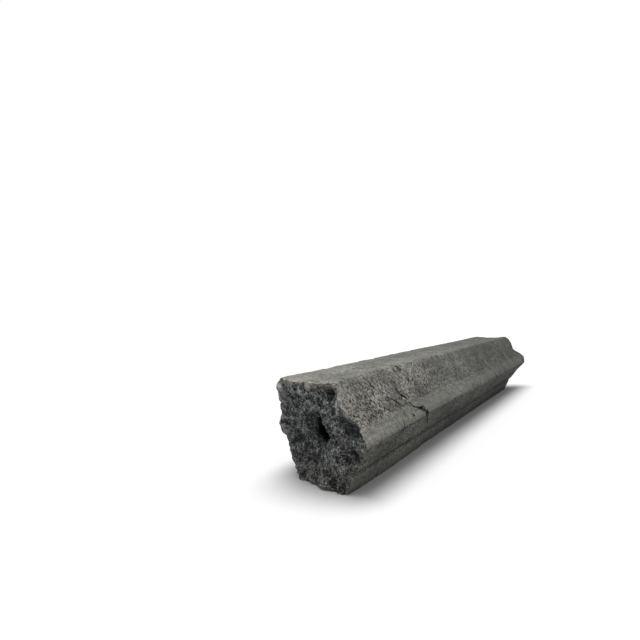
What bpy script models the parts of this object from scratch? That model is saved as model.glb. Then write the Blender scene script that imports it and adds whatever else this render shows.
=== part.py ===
"""Hexagonal charcoal briquette: one pressed and charred stick with a bore along it.

Metres, +Z up. The stick lies along X on two of its six ridges. The origin is under its middle, on the
surface that it rests on. Its front end, at -X, is broken off unevenly, and its back end, at +X, more evenly.
Ridges and sides are counted from the ridge at -Y, anticlockwise as the front end is looked at.
"""

import math
from dataclasses import dataclass

import bmesh
import bpy
from mathutils import Vector, noise

# Driving dimensions
LENGTH = 0.272
ACROSS_RIDGES = 0.0492
BORE_DIAMETER = 0.0094
PANEL_WIDTH = 0.0100

# Section: each side is a flat panel between two lips that rise to the ridges. A panel is sunk by its own
# depth at its first edge and at its second
SIDES = 6
SIDE_ANGLE = math.tau / SIDES
HALF_SIDE = SIDE_ANGLE / 2
SINKS_LOW = (0.0015, 0.0012, 0.0012, 0.0016, 0.0017, 0.0017)
SINKS_HIGH = (0.0006, 0.0012, 0.0012, 0.0016, 0.0017, 0.0013)
LIP_SOFTNESS = 0.0010
CORNER_SOFTNESS = math.radians(3.2)
RIDGE_RADIUS = ACROSS_RIDGES / 2
RIDGE_APOTHEM = RIDGE_RADIUS * math.cos(HALF_SIDE - CORNER_SOFTNESS)
LIP_WIDTH = RIDGE_APOTHEM * math.tan(HALF_SIDE) - PANEL_WIDTH / 2

# The stick rests on two ridges, worn flat by this much
WEAR = 0.00045
AXIS_HEIGHT = RIDGE_RADIUS * math.cos(HALF_SIDE) - WEAR

# Places where the skin strays: angle and width round the axis, middle and reach along X, turn and rise
STRAYS = (
    (0.0, math.radians(24.0), -0.132, 0.026, math.radians(-3.0), 0.0),
    (math.radians(300.0), math.radians(24.0), -0.105, 0.024, math.radians(3.5), 0.0004),
    (math.radians(13.0), math.radians(11.0), 0.141, 0.014, 0.0, 0.0010),
)

# Relief: size and height of each kind of lump
END_LUMP_SIZE = 0.0110
CRUMB_SIZE = 0.0050
CRUMB = 0.0011
SKIN_WAVE_SIZE = 0.0280
SKIN_WAVE = 0.00045
SKIN_SEED = 40.9
BORE_WAVE_SIZE = 0.0130
BORE_WAVE = 0.0006
MOUTH_FLARE = 0.0002
MOUTH_DEPTH = 0.0050
RIM_ROUND = 0.0006
RIM_DEPTH = 0.0022
CRATER_STEEPNESS = 0.85

# Grid: divisions round the section, and along the closed path over skin, back end, bore and front end
AROUND = 12 * SIDES
SKIN_ROWS = 45
END_ROWS = 9
BORE_ROWS = 15
ROWS = SKIN_ROWS + END_ROWS + BORE_ROWS + END_ROWS
CROWDING = 0.5
MERGE = 1e-6


def blend(low, high, share):
    """The value a share of the way from low to high."""
    return low + (high - low) * share


def crowd(share):
    """A share from 0 to 1, moved so that even steps of it come closer together at both ends."""
    return share - CROWDING * math.sin(math.tau * share) / math.tau


def section_angle(turn):
    """The polar angle at a share of a turn, stepping along each straight side and finely at the ridges."""
    side, along = divmod(turn * SIDES, 1.0)
    lateral = (2.0 * crowd(along) - 1.0) * math.tan(HALF_SIDE)
    return (side + 0.5) * SIDE_ANGLE + math.atan(lateral)


def lip_rise(past_panel):
    """How far a lip has risen, softly, at a distance past the edge of the flat panel."""
    return (past_panel + math.hypot(past_panel, LIP_SOFTNESS)) / 2


def section_radius(angle):
    """The distance from the axis to the skin, without relief."""
    side, along = divmod(angle / SIDE_ANGLE, 1.0)
    off_middle = abs(along - 0.5) * SIDE_ANGLE
    lateral = RIDGE_APOTHEM * math.tan((along - 0.5) * SIDE_ANGLE)
    rise = lip_rise(abs(lateral) - PANEL_WIDTH / 2) / lip_rise(LIP_WIDTH)
    over_panel = min(max(lateral / PANEL_WIDTH + 0.5, 0.0), 1.0)
    sink = blend(SINKS_LOW[int(side) % SIDES], SINKS_HIGH[int(side) % SIDES], over_panel)
    apothem = RIDGE_APOTHEM - sink * (1.0 - rise)
    return apothem / math.cos(HALF_SIDE - math.hypot(HALF_SIDE - off_middle, CORNER_SOFTNESS))


def strayed(angle, x):
    """How far round the axis and how far outwards a place of the stick has strayed."""
    turn, rise = 0.0, 0.0
    for facing, width, middle, reach, most_turn, most_rise in STRAYS:
        off = (angle - facing + math.pi) % math.tau - math.pi
        share = math.exp(-0.5 * ((off / width) ** 2 + ((x - middle) / reach) ** 2))
        turn += most_turn * share
        rise += most_rise * share
    return turn, rise


@dataclass(frozen=True)
class BrokenEnd:
    """One broken end. Depths are counted inwards from the end's mean plane."""

    rim: tuple  # at each ridge
    mouth: float  # round the bore
    tilt: tuple  # of the mouth, across and up
    lump: float
    seed: float
    shapes: tuple = ()  # hollows, and humps where the depth is negative: across, up, spread, depth

    def rim_depth(self, angle):
        """The depth at the rim, eased from one ridge's value to the next."""
        ridge, share = divmod((angle / SIDE_ANGLE) % SIDES, 1.0)
        eased = share * share * (3.0 - 2.0 * share)
        return blend(self.rim[int(ridge) % SIDES], self.rim[(int(ridge) + 1) % SIDES], eased)

    def depth(self, angle, radius, wall):
        """The depth at a place of the end, with wall the share of the way from bore to skin."""
        across = radius * math.cos(angle)
        up = radius * math.sin(angle)
        mouth = self.mouth + self.tilt[0] * across + self.tilt[1] * up
        depth = blend(mouth, self.rim_depth(angle), wall**CRATER_STEEPNESS)
        depth += self.lump * noise.noise(Vector((across / END_LUMP_SIZE, up / END_LUMP_SIZE, self.seed)))
        depth += CRUMB * noise.noise(Vector((across / CRUMB_SIZE, up / CRUMB_SIZE, self.seed + 5.0)))
        for shape_across, shape_up, spread, deepest in self.shapes:
            away = math.hypot(across - shape_across, up - shape_up)
            depth += deepest * math.exp(-0.5 * (away / spread) ** 2)
        return depth


FRONT = BrokenEnd(
    rim=(-0.0055, -0.0056, -0.0054, 0.0078, 0.0042, -0.0016),
    mouth=0.0036,
    tilt=(-0.36, -0.12),
    lump=0.0022,
    seed=3.7,
    shapes=(
        (0.0162, 0.0042, 0.0036, 0.0032),
        (0.0168, 0.0120, 0.0032, -0.0032),
        (0.0164, -0.0048, 0.0026, 0.0020),
        (0.0180, -0.0092, 0.0034, 0.0045),
        (0.0098, 0.0174, 0.0018, 0.0022),
        (-0.0060, 0.0113, 0.0020, 0.0014),
        (-0.0026, 0.0088, 0.0020, 0.0018),
        (-0.0150, -0.0058, 0.0026, 0.0026),
        (0.0068, 0.0110, 0.0026, -0.0016),
        (0.0098, -0.0042, 0.0022, -0.0012),
        (0.0114, -0.0125, 0.0028, -0.0010),
        (-0.0100, 0.0175, 0.0034, -0.0014),
        (-0.0175, -0.0110, 0.0022, -0.0018),
    ),
)
BACK = BrokenEnd(
    rim=(-0.0010, 0.0000, 0.0012, 0.0008, 0.0024, 0.0138),
    mouth=0.0022,
    tilt=(-0.07, -0.06),
    lump=0.0013,
    seed=21.3,
    shapes=(
        (0.0188, 0.0108, 0.0020, 0.0034),
        (0.0213, 0.0056, 0.0030, -0.0090),
        (0.0229, 0.0012, 0.0032, -0.0050),
        (0.0123, 0.0213, 0.0018, 0.0022),
    ),
)


def surface_point(angle, along, wall):
    """A point of the stick. along runs from 0, front, to 1, back, and wall from 0, bore, to 1, skin."""
    from_end = min(along, 1.0 - along) * LENGTH
    place = Vector((along * LENGTH, math.cos(angle) * RIDGE_RADIUS, math.sin(angle) * RIDGE_RADIUS))
    wave = noise.noise(place / SKIN_WAVE_SIZE + Vector((SKIN_SEED, 0.0, 0.0)))
    turn, rise = strayed(angle, (along - 0.5) * LENGTH)
    skin = section_radius(angle) + rise + SKIN_WAVE * wave - RIM_ROUND * math.exp(-from_end / RIM_DEPTH)
    bore = BORE_DIAMETER / 2 + BORE_WAVE * noise.noise(place / BORE_WAVE_SIZE)
    bore += MOUTH_FLARE * math.exp(-from_end / MOUTH_DEPTH)
    radius = blend(bore, skin, wall)
    front = FRONT.depth(angle, radius, wall) - LENGTH / 2
    back = LENGTH / 2 - BACK.depth(angle, radius, wall)
    x = blend(front, back, along)
    y = -radius * math.cos(angle + turn)
    z = AXIS_HEIGHT + radius * math.sin(angle + turn)
    return Vector((x, y, max(z, 0.0)))


def path_place(row):
    """(along, wall) at a row of the closed path: skin to the back, in, bore to the front, and out."""
    if row <= SKIN_ROWS:
        return crowd(row / SKIN_ROWS), 1.0
    row -= SKIN_ROWS
    if row <= END_ROWS:
        return 1.0, 1.0 - row / END_ROWS
    row -= END_ROWS
    if row <= BORE_ROWS:
        return 1.0 - crowd(row / BORE_ROWS), 0.0
    return 0.0, (row - BORE_ROWS) / END_ROWS


def centre_on_origin(grid):
    """Moves the mesh along X and Y until its box is centred over the origin."""
    for axis in (0, 1):
        places = [vert.co[axis] for vert in grid.verts]
        middle = (min(places) + max(places)) / 2
        for vert in grid.verts:
            vert.co[axis] -= middle


def briquette_mesh():
    """A flat grid rolled round the section and along the closed path, and joined where its edges meet."""
    grid = bmesh.new()
    bmesh.ops.create_grid(grid, x_segments=AROUND, y_segments=ROWS, size=0.5)
    for vert in grid.verts:
        along, wall = path_place(round((vert.co.y + 0.5) * ROWS))
        vert.co = surface_point(section_angle(vert.co.x + 0.5), along, wall)
    bmesh.ops.remove_doubles(grid, verts=grid.verts, dist=MERGE)
    bmesh.ops.recalc_face_normals(grid, faces=grid.faces)
    centre_on_origin(grid)
    mesh = bpy.data.meshes.new("briquette")
    grid.to_mesh(mesh)
    grid.free()
    mesh.shade_smooth()
    return mesh


def charcoal():
    """Dull, brownish grey charred skin."""
    material = bpy.data.materials.new("charcoal")
    material.use_nodes = True
    shader = material.node_tree.nodes["Principled BSDF"]
    shader.inputs["Base Color"].default_value = (0.085, 0.083, 0.076, 1.0)
    shader.inputs["Roughness"].default_value = 0.62
    shader.inputs["Metallic"].default_value = 0.0
    return material


def main():
    """Clears the scene and makes the briquette in its own collection."""
    for thing in list(bpy.data.objects):
        bpy.data.objects.remove(thing)
    parts = bpy.data.collections.new("hexagonal_charcoal_briquette")
    bpy.context.scene.collection.children.link(parts)
    briquette = bpy.data.objects.new("briquette", briquette_mesh())
    briquette.data.materials.append(charcoal())
    parts.objects.link(briquette)


main()
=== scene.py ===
"""Looks of a hexagonal charcoal briquette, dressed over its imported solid.

Metres, +Z up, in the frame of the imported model: the stick lies along X on two worn ridges, with its broken
front end at -X. Ridges and sides are counted from the ridge at -Y, anticlockwise as the front is looked at.
A place in the section is given by its polar angle from that ridge, or by how far it is across and up.
"""

import logging
import math
import random
from dataclasses import dataclass, field
from enum import Enum
from functools import reduce

import bmesh
import bpy
from mathutils import Matrix, Vector, noise

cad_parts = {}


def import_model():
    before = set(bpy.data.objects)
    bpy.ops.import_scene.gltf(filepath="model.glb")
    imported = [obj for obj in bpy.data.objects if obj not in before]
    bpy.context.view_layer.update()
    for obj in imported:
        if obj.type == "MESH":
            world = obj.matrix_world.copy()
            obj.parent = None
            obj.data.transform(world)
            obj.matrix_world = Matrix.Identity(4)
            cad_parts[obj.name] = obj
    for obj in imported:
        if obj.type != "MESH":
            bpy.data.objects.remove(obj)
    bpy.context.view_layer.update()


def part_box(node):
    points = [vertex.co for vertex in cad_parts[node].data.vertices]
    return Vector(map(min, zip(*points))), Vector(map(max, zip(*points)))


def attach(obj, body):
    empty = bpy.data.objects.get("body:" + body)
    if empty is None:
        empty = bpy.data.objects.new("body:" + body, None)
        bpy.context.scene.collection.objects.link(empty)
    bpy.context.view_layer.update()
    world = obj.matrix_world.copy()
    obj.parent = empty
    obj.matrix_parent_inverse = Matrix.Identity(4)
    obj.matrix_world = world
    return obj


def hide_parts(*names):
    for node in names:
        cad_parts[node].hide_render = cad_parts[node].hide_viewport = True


LOG = logging.getLogger("briquette")
MM = 0.001
NODE = "briquette"
BODY = "root"
SIDES = 6
SIDE_ANGLE = math.tau / SIDES
HALF_SIDE = SIDE_ANGLE / 2
Socket = bpy.types.NodeSocket
Colour = tuple[float, float, float, float]
Triple = tuple[float, float, float]


def blend(low: float, high: float, share: float) -> float:
    """The value a share of the way from low to high."""
    return low + (high - low) * share


def ease(value: float, low: float, high: float) -> float:
    """A smooth step.

    Args:
        value: The value to judge.
        low: Where the step starts.
        high: Where the step ends, which may be below its start.

    Returns:
        0 before the step, 1 past it, and eased between.
    """
    share = min(max((value - low) / (high - low), 0.0), 1.0)
    return share * share * (3.0 - 2.0 * share)


def grain(place: Vector, size: float) -> tuple[float, float]:
    """Rounded grains in a packed bed.

    Args:
        place: Where the bed is looked at, in metres.
        size: The usual width of a grain.

    Returns:
        How far the place lies below its grain's top, from 0 to about 1, and how deep in the gap between two
        grains it is, from 0 to 1.
    """
    distances = noise.voronoi(place / size)[0]
    gap = 1.0 - min((distances[1] - distances[0]) / 0.25, 1.0)
    return distances[0] * distances[0], gap * gap


class Part(Enum):
    """The four stretches of the closed path that the surface is rolled along."""

    SKIN = "skin"
    BACK = "back end"
    CHANNEL = "channel"
    FRONT = "front end"


class Mark(Enum):
    """The values that the mesh carries to its finish, by the name of their attribute."""

    BROKEN = "broken"
    LIP_HIGHLIGHT = "lip"
    RIM = "rim"
    RELIEF_SHADE = "relief"
    CHANNEL = "channel"
    SMOOTH = "smooth"
    BAND = "band"
    CHIP = "chip"
    GROOVE_SHADE = "groove"
    SIDE_SHADE = "tone"
    ROUGH = "rough"
    STAIN = "stain"
    CRACK_OFF = "crack_off"
    CRACK_OPEN = "crack_open"


@dataclass
class Section:
    """The six-sided section: flat panels, each sunk by its own depths, between lips that rise to ridges."""

    across_ridges: float = 49.2 * MM
    panel_width: float = 10.0 * MM
    sinks_low: tuple[float, ...] = (1.5 * MM, 1.2 * MM, 1.2 * MM, 1.6 * MM, 1.7 * MM, 1.7 * MM)
    sinks_high: tuple[float, ...] = (0.6 * MM, 1.2 * MM, 1.2 * MM, 1.6 * MM, 1.7 * MM, 1.3 * MM)
    # Painted highlight on each side's two lips, by its lower and its higher ridge: fullest on the lit side by
    # the -Y ridge and on the underside by the ridge it rests on.
    lip_highlights_low: tuple[float, ...] = (1.0, 0.6, 0.6, 0.6, 0.6, 1.0)
    lip_highlights_high: tuple[float, ...] = (0.3, 0.6, 0.6, 0.6, 0.6, 0.0)
    # Painted shade per side: the sixth side faces down towards the floor and is darkened to stand in for the
    # shade it lies in.
    side_shades: tuple[float, ...] = (1.0, 1.0, 1.0, 1.0, 1.0, 0.76)
    roughs: tuple[float, ...] = (1.0, 0.55, 0.65, 0.55, 0.6, 0.9)
    lip_softness: float = 1.0 * MM
    corner_softness: float = math.radians(3.2)
    wear: float = 0.45 * MM
    crowding: float = 0.35
    ridge_spread: float = 2.2 * MM

    def __post_init__(self) -> None:
        """Works out the sizes that follow from the driving ones."""
        self.ridge_radius = self.across_ridges / 2
        self.ridge_apothem = self.ridge_radius * math.cos(HALF_SIDE - self.corner_softness)
        self.lip_width = self.ridge_apothem * math.tan(HALF_SIDE) - self.panel_width / 2
        self.axis_height = self.ridge_radius * math.cos(HALF_SIDE) - self.wear

    def angle(self, turn: float) -> float:
        """The polar angle at a share of a turn, with steps that come closer together at the ridges.

        Args:
            turn: The share.

        Returns:
            The angle.
        """
        side, along = divmod(turn * SIDES, 1.0)
        along -= self.crowding * math.sin(math.tau * along) / math.tau
        return (side + 0.5) * SIDE_ANGLE + math.atan((2.0 * along - 1.0) * math.tan(HALF_SIDE))

    def lip_rise(self, past_panel: float) -> float:
        """How far a lip has risen, softly, at a distance past the edge of the flat panel."""
        return (past_panel + math.hypot(past_panel, self.lip_softness)) / 2

    def radius(self, angle: float) -> float:
        """The distance from the axis to the skin, without relief.

        Args:
            angle: The polar angle.

        Returns:
            The distance.
        """
        side, along = divmod(angle / SIDE_ANGLE, 1.0)
        off_middle = abs(along - 0.5) * SIDE_ANGLE
        lateral = self.lateral(along)
        rise = self.lip_rise(abs(lateral) - self.panel_width / 2) / self.lip_rise(self.lip_width)
        over_panel = min(max(lateral / self.panel_width + 0.5, 0.0), 1.0)
        sink = blend(self.sinks_low[int(side) % SIDES], self.sinks_high[int(side) % SIDES], over_panel)
        apothem = self.ridge_apothem - sink * (1.0 - rise)
        return apothem / math.cos(HALF_SIDE - math.hypot(HALF_SIDE - off_middle, self.corner_softness))

    def lateral(self, along: float) -> float:
        """How far round from the middle of its side a place is, given its share of the side's angle."""
        return self.ridge_apothem * math.tan((along - 0.5) * SIDE_ANGLE)

    def lip_highlight_share(self, angle: float) -> float:
        """How much painted highlight a lip gets: 0 on the flat panels, rising to its own weight over its
        first millimetres.

        Args:
            angle: The polar angle.

        Returns:
            The share.
        """
        side, along = divmod(angle / SIDE_ANGLE, 1.0)
        weights = self.lip_highlights_low if along < 0.5 else self.lip_highlights_high
        past_panel = abs(self.lateral(along)) - self.panel_width / 2
        return weights[int(side) % SIDES] * ease(past_panel, -0.6 * MM, 2.2 * MM)

    def tone(self, angle: float) -> float:
        """Painted shade on a side: the factor that darkens its panel, below 1 only on the downward-facing
        side, and 1 on its first lip, which is left light as a painted highlight.

        Args:
            angle: The polar angle.

        Returns:
            The painted shade factor.
        """
        side, along = divmod(angle / SIDE_ANGLE, 1.0)
        first_lip = ease(self.lateral(along), -4.2 * MM, -6.2 * MM)
        return blend(self.side_shades[int(side) % SIDES], 1.0, first_lip)

    def rough(self, angle: float) -> float:
        """How rough the skin of a side is beside the others."""
        return self.roughs[int(angle // SIDE_ANGLE) % SIDES]

    def ridge_share(self, angle: float) -> float:
        """1 on a ridge, falling to 0 on the panels."""
        off_ridge = abs((angle + HALF_SIDE) % SIDE_ANGLE - HALF_SIDE) * self.ridge_radius
        return math.exp(-0.5 * (off_ridge / self.ridge_spread) ** 2)


@dataclass(frozen=True)
class Stray:
    """A place where the skin strays from the even section: turned round the axis, raised, or both.

    Attributes:
        facing: The polar angle of its middle.
        width: How far it spreads round the axis.
        middle: How far its middle is along the stick.
        reach: How far it spreads along the stick.
        turn: How far its middle is turned.
        rise: How far its middle is raised.
    """

    facing: float
    width: float
    middle: float
    reach: float
    turn: float = 0.0
    rise: float = 0.0

    def share(self, angle: float, x: float) -> float:
        """How much a place of the stick takes part, from 0 to 1."""
        off = (angle - self.facing + math.pi) % math.tau - math.pi
        return math.exp(-0.5 * ((off / self.width) ** 2 + ((x - self.middle) / self.reach) ** 2))


@dataclass(frozen=True)
class Swell:
    """A rounded hollow in a broken end, or a hump where its depth is negative."""

    across: float
    up: float
    spread: float
    depth: float
    tall: float = 1.0

    def depth_at(self, across: float, up: float) -> float:
        """How deep it is at one place of the section."""
        away = math.hypot(across - self.across, (up - self.up) / self.tall)
        return self.depth * math.exp(-0.5 * (away / self.spread) ** 2)


@dataclass(frozen=True)
class BrokenEnd:
    """One end, broken across: its tilt and steps, its swells, and the lumps and grains of the break."""

    rim: tuple[float, ...]
    mouth: float
    tilt: tuple[float, float]
    lump: float
    seed: float
    swells: tuple[Swell, ...] = ()
    smooth_at: tuple[float, float] = (0.0, 0.0)
    smooth_spread: float = 1.0 * MM
    steepness: float = 0.85
    lump_size: float = 11.0 * MM
    crumb_size: float = 5.0 * MM
    crumb: float = 1.1 * MM
    clump_size: float = 3.6 * MM
    clump: float = 0.7 * MM
    crag_size: float = 2.6 * MM
    crag: float = 1.1 * MM
    grain_size: float = 1.4 * MM
    grain: float = 0.45 * MM
    fibre_width: float = 1.6 * MM
    fibre_length: float = 8.0 * MM
    fibre_radius: float = 11.0 * MM
    fibre: float = 1.0 * MM
    pits: tuple[Swell, ...] = ()
    chips: tuple[Swell, ...] = ()
    band: Swell = Swell(0.0, 0.0, 1.0 * MM, 0.0)
    fray: float = 0.65 * MM
    fray_size: float = 2.1 * MM
    fray_seed: float = 133.6

    def coarse_depth(self, angle: float, radius: float, wall: float) -> float:
        """The break's main form, the same as the solid's.

        Args:
            angle: The polar angle.
            radius: The distance from the axis.
            wall: The share of the way from bore to skin.

        Returns:
            How far the break lies inside the end's mean plane.
        """
        ridge, share = divmod((angle / SIDE_ANGLE) % SIDES, 1.0)
        here, following = self.rim[int(ridge) % SIDES], self.rim[(int(ridge) + 1) % SIDES]
        at_rim = blend(here, following, ease(share, 0.0, 1.0))
        across = radius * math.cos(angle)
        up = radius * math.sin(angle)
        mouth = self.mouth + self.tilt[0] * across + self.tilt[1] * up
        lumps = noise.noise(Vector((across / self.lump_size, up / self.lump_size, self.seed)))
        crumbs = noise.noise(Vector((across / self.crumb_size, up / self.crumb_size, self.seed + 5.0)))
        depth = blend(mouth, at_rim, wall**self.steepness) + self.lump * lumps + self.crumb * crumbs
        return depth + sum(swell.depth_at(across, up) for swell in self.swells)

    def fine_depth(self, across: float, up: float) -> float:
        """The clumps, crags, grains and fibres of the break, finer than the solid's.

        Args:
            across: How far across the section.
            up: How far up it.

        Returns:
            How much deeper the break lies there.
        """
        rough = 1.0 - 0.6 * self.smooth_share(across, up)
        place = Vector((across, up, self.seed * MM))
        clump, clump_gap = grain(place, self.clump_size)
        speck, speck_gap = grain(place, self.grain_size)
        depth = self.clump * (clump - 0.3 + 0.35 * clump_gap)
        depth += self.grain * (speck - 0.3 + 0.4 * speck_gap)
        crags = abs(noise.noise(place / self.crag_size))
        crags += 0.5 * abs(noise.noise(place / (0.5 * self.crag_size)))
        depth += self.crag * (crags - 0.35)
        depth += self.fibre * self.fibre_crest(across, up)
        return depth * rough + sum(swell.depth_at(across, up) for swell in self.pits + self.chips)

    def smooth_share(self, across: float, up: float) -> float:
        """How much a place belongs to the smooth dish of the break, from 0 to 1."""
        away = math.hypot(across - self.smooth_at[0], (up - self.smooth_at[1]) / 1.1)
        return math.exp(-0.5 * (away / self.smooth_spread) ** 2)

    def chip_share(self, across: float, up: float) -> float:
        """How much a place belongs to one of the pale smooth chips, from 0 to 1."""
        shares = [chip.depth_at(across, up) / chip.depth for chip in self.chips]
        return ease(max(shares, default=0.0), 0.35, 0.65)

    def fibre_crest(self, across: float, up: float) -> float:
        """How far a place lies below the crests of the torn fibres, which fan out from the bore.

        Args:
            across: How far across the section.
            up: How far up it.

        Returns:
            The depth, as a share of the fibres' height.
        """
        round_bore = math.atan2(up, across) * self.fibre_radius / self.fibre_width
        outwards = math.hypot(across, up) / self.fibre_length
        return abs(noise.noise(Vector((round_bore, outwards, self.seed)))) - 0.2

    def frayed(self, across: float, up: float) -> tuple[float, float]:
        """How far a place of the break is pushed sideways, across and up, so that its rim is ragged.

        Args:
            across: How far across the section.
            up: How far up it.

        Returns:
            The two pushes.
        """
        place = Vector((across, up, self.seed * MM)) / self.fray_size
        sideways = noise.noise(place + Vector((self.fray_seed, 0.0, 0.0)))
        upwards = noise.noise(place + Vector((0.0, self.fray_seed, 40.0)))
        return self.fray * sideways, self.fray * upwards


@dataclass(frozen=True)
class Crack:
    """A crack in the skin that runs across the stick.

    Attributes:
        facing: The polar angle that it lies around.
        route: Its places as pairs: how far along the stick from its middle, and how far round from facing.
        half_width: Half its width at its widest.
        depth: How deep the skin is parted there.
        wander: How far it strays from its route.
        seed: What its straying is drawn from.
    """

    facing: float
    route: tuple[tuple[float, float], ...]
    half_width: float
    depth: float
    wander: float
    seed: float

    def near(self, x: float, reach: float) -> bool:
        """Whether any of it is within reach of a place along the stick."""
        places = [spot[0] for spot in self.route]
        return min(places) - reach < x < max(places) + reach

    def gap(self, x: float, angle: float, radius: float) -> tuple[float, float]:
        """How far a place of the skin is from the crack.

        Args:
            x: How far along the stick from its middle.
            angle: The polar angle.
            radius: The distance from the axis.

        Returns:
            The signed distance from its middle line, and its half width there, 0 past its ends.
        """
        around = radius * math.sin(angle - self.facing)
        if math.cos(angle - self.facing) < 0.2:
            return 0.0, 0.0
        for (x_from, from_around), (x_to, to_around) in zip(self.route, self.route[1:]):
            share = (around - from_around) / (to_around - from_around)
            if 0.0 <= share <= 1.0:
                break
        else:
            return 0.0, 0.0
        slope = math.atan2(x_to - x_from, to_around - from_around)
        stray = noise.noise(Vector((around / (2.6 * MM), self.seed, 0.0)))
        stray += 0.45 * noise.noise(Vector((around / (0.8 * MM), self.seed, 3.0)))
        off = (x - blend(x_from, x_to, share) - self.wander * stray) * abs(math.cos(slope))
        ends = self.route[0][1], self.route[-1][1]
        taper = min(around - min(ends), max(ends) - around) / (2.0 * MM)
        uneven = 0.75 + 0.9 * noise.noise(Vector((around / (1.7 * MM), self.seed, 5.0)))
        return off, self.half_width * min(max(taper, 0.0), 1.0) * max(uneven, 0.1)


def shown_crack(
    seed: float, width: float, depth: float, *route: tuple[float, float], side: float = 30.0
) -> Crack:
    """One of the cracks that the photograph shows.

    Args:
        seed: What its straying is drawn from.
        width: Half its width, in millimetres.
        depth: How deep the skin is parted, in millimetres.
        route: Its places along the stick and round the side, in millimetres.
        side: The side that it is on, as the polar angle of its middle in degrees.

    Returns:
        The crack.
    """
    places = tuple((x * MM, around * MM) for x, around in route)
    return Crack(math.radians(side), places, width * MM, depth * MM, 0.5 * MM, seed)


SHOWN_CRACKS = (
    shown_crack(1.3, 0.80, 1.0, (-86.5, 13.8), (-84.0, 12.6), (-83.6, 11.2), (-84.5, 9.6)),
    shown_crack(2.7, 0.34, 0.5, (-81.4, 11.4), (-83.5, 9.1), (-86.2, 8.2)),
    shown_crack(3.1, 0.32, 0.4, (-98.0, 13.6), (-97.0, 12.4), (-96.0, 10.9)),
    shown_crack(4.9, 0.48, 0.6, (-78.7, 7.4), (-78.2, 5.1), (-77.2, 2.2)),
    shown_crack(5.3, 0.60, 0.9, (-93.4, 4.3), (-92.0, 1.5), (-90.8, -2.0), (-91.7, -3.6)),
    shown_crack(6.1, 0.50, 0.8, (-103.2, 1.6), (-102.0, 0.6), (-99.8, -1.4), (-100.9, -4.1)),
    shown_crack(7.7, 0.24, 0.4, (-104.6, 1.8), (-105.0, -0.6)),
    shown_crack(8.9, 0.85, 1.2, (-92.5, -5.0), (-90.3, -7.1), (-84.8, -9.0), (-81.7, -11.3), (-80.9, -14.6)),
    shown_crack(9.3, 0.45, 0.8, (-114.3, 9.3), (-112.4, 7.1), (-110.7, 5.3), (-109.5, 4.3)),
    shown_crack(10.1, 0.26, 0.4, (-111.3, -1.4), (-111.5, -3.2), (-109.2, -4.8)),
    shown_crack(11.9, 0.26, 0.4, (-73.5, -0.4), (-76.6, -2.7), (-79.6, -4.8)),
    shown_crack(12.7, 0.50, 0.8, (-126.0, 14.2), (-126.6, 13.2), (-128.2, 12.0)),
    shown_crack(13.1, 0.24, 0.4, (-133.3, 6.3), (-132.0, 5.0), (-129.8, 3.0)),
    shown_crack(14.9, 0.24, 0.4, (-122.1, 2.2), (-121.5, -1.2)),
    shown_crack(15.7, 0.36, 0.5, (-58.0, 11.5), (-57.0, 9.0), (-55.8, 6.6)),
    shown_crack(16.3, 0.50, 0.8, (-80.5, 13.6), (-77.0, 9.0), (-70.0, 2.5), (-74.0, -0.8), side=-30.0),
    shown_crack(17.9, 0.26, 0.5, (-57.0, 12.9), (-59.2, 8.6), (-57.4, 6.6), side=-30.0),
    shown_crack(18.7, 2.20, 1.3, (-94.9, -8.7), (-93.6, -10.9)),
)


@dataclass
class CrackField:
    """All cracks: those that the photograph shows, and small ones strewn over ridges and sides."""

    shown: tuple[Crack, ...] = SHOWN_CRACKS
    on_ridges: int = 11
    on_sides: int = 5
    reach: float = 3.0 * MM
    seed: int = 11
    cracks: list[Crack] = field(default_factory=list)

    def strew(self, length: float) -> None:
        """Draws the small cracks.

        Args:
            length: The length of skin that they are strewn along.
        """
        draw = random.Random(self.seed)
        self.cracks = list(self.shown)
        for ridge in range(SIDES):
            for _ in range(self.on_ridges):
                middle = draw.uniform(-0.47, 0.47) * length
                reach = draw.uniform(1.6, 4.4) * MM
                lean = draw.uniform(-1.6, 1.6) * MM
                route = ((middle - lean, -reach), (middle + lean * 0.3, 0.2 * reach), (middle + lean, reach))
                width = draw.uniform(0.10, 0.30) * MM
                depth = draw.uniform(0.2, 0.6) * MM
                seed = draw.random() * 90
                self.cracks.append(Crack(ridge * SIDE_ANGLE, route, width, depth, 0.7 * MM, seed))
            for _ in range(self.on_sides):
                middle = draw.uniform(-0.46, 0.46) * length
                start = draw.uniform(-11.0, 2.0) * MM
                end = start + draw.uniform(4.0, 11.0) * MM
                lean = draw.uniform(-3.0, 3.0) * MM
                route = ((middle, start), (middle + 0.7 * lean, blend(start, end, 0.5)), (middle + lean, end))
                width = draw.uniform(0.08, 0.20) * MM
                depth = draw.uniform(0.15, 0.35) * MM
                seed = draw.random() * 90
                self.cracks.append(Crack((ridge + 0.5) * SIDE_ANGLE, route, width, depth, 1.0 * MM, seed))

    def close_to(self, x: float) -> list[Crack]:
        """The cracks that pass near a place along the stick."""
        return [crack for crack in self.cracks if crack.near(x, self.reach)]


@dataclass(frozen=True)
class Groove:
    """A shallow groove along one side: how far round from its middle it runs, its depth and its width."""

    side: int
    place: float
    depth: float
    width: float = 0.9 * MM

    def depth_at(self, lateral: float, x: float) -> float:
        """How deep it is at one place of its side.

        Args:
            lateral: How far round from the side's middle.
            x: How far along the stick from its middle.

        Returns:
            The depth.
        """
        stray = noise.noise(Vector((x / (22.0 * MM), 5.0 * self.side + self.place / MM, 9.0)))
        patches = noise.noise(Vector((x / (30.0 * MM), 3.0 * self.side + self.place / MM, 2.0)))
        fade = ease(patches, -0.45, 0.15)
        off = lateral - self.place - 0.9 * MM * stray
        return self.depth * (0.35 + 0.65 * fade) * math.exp(-((off / self.width) ** 2))


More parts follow.
